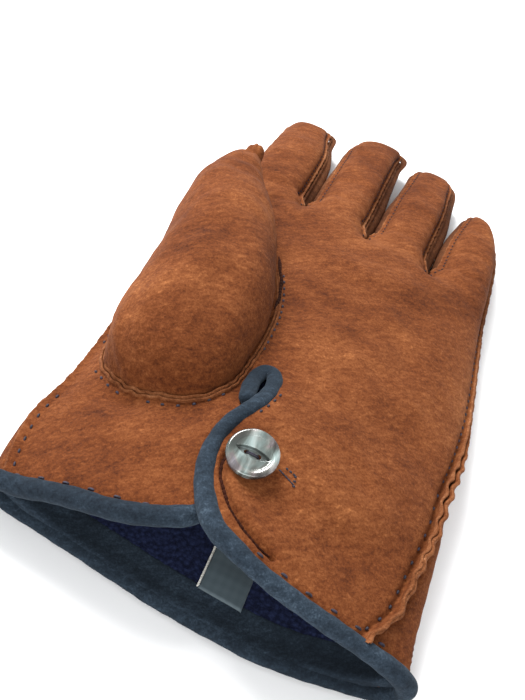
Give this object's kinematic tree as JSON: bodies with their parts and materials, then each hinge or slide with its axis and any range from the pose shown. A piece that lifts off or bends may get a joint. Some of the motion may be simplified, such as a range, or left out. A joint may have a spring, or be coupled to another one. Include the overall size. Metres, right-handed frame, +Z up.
{
  "type": "driving glove",
  "caption": "Left-hand suede driving glove lying palm up, thumb folded over the palm, with a bound cuff, a buttoned palm vent and a fleece lining.",
  "frame": {"origin": "middle of the glove's footprint, on the surface that the back of the glove lies on", "axes": "+X to the little-finger side, +Y from the cuff to the fingertips, +Z up out of the palm"},
  "size_m": [0.1244, 0.2556, 0.0507],
  "materials": {
    "rust_suede": "brushed suede, rust brown",
    "slate_suede": "brushed suede, slate blue",
    "navy_fleece": "short fleece, dark navy",
    "woven_tab": "woven tape, grey green",
    "pearl_shell": "polished mother-of-pearl",
    "button_thread": "wound sewing thread"
  },
  "bodies": {
    "root": {"palm_panel": "rust_suede", "back_panel": "rust_suede", "fourchette_index_middle": "rust_suede", "fourchette_middle_ring": "rust_suede", "fourchette_ring_little": "rust_suede", "thumb": "rust_suede", "thumb_seam": "rust_suede", "cuff_binding": "slate_suede", "cuff_facing": "slate_suede", "cuff_lining": "navy_fleece", "label": "woven_tab", "button": "pearl_shell", "button_shank": "button_thread"}
  },
  "joints": []
}
